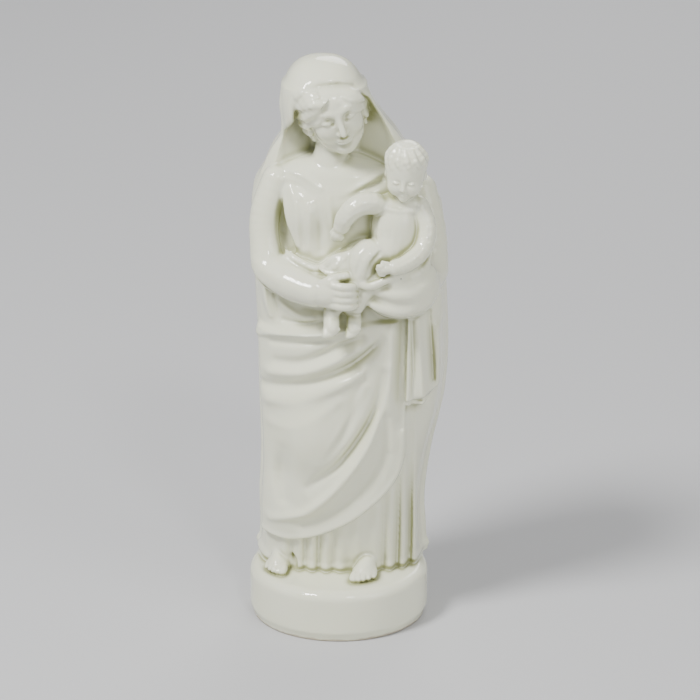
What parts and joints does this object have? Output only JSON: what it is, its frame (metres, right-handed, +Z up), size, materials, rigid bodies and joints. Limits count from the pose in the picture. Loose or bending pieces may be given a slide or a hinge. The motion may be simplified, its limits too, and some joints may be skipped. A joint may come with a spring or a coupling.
{
  "type": "madonna and child statue",
  "caption": "Small glazed white porcelain statue of a standing veiled mother carrying her child on her left arm, on a round hollow plinth.",
  "frame": {"origin": "centre of the plinth's underside, on the surface it stands on", "axes": "+Z up, the figure faces -Y, the child is on the +X side"},
  "size_m": [0.0593, 0.0524, 0.1698],
  "materials": {
    "white_glaze": "gloss"
  },
  "bodies": {
    "root": {"plinth": "white_glaze", "skirt": "white_glaze", "mantle_wrap": "white_glaze", "bodice": "white_glaze", "cloak": "white_glaze", "hood": "white_glaze", "head": "white_glaze", "right_sleeve": "white_glaze", "right_hand": "white_glaze", "left_sleeve": "white_glaze", "mantle_fall": "white_glaze", "lap_cloth": "white_glaze", "right_foot": "white_glaze", "left_foot": "white_glaze", "child_torso": "white_glaze", "child_head": "white_glaze", "child_right_arm": "white_glaze", "child_left_arm": "white_glaze", "child_right_leg": "white_glaze", "child_left_leg": "white_glaze"}
  },
  "joints": []
}
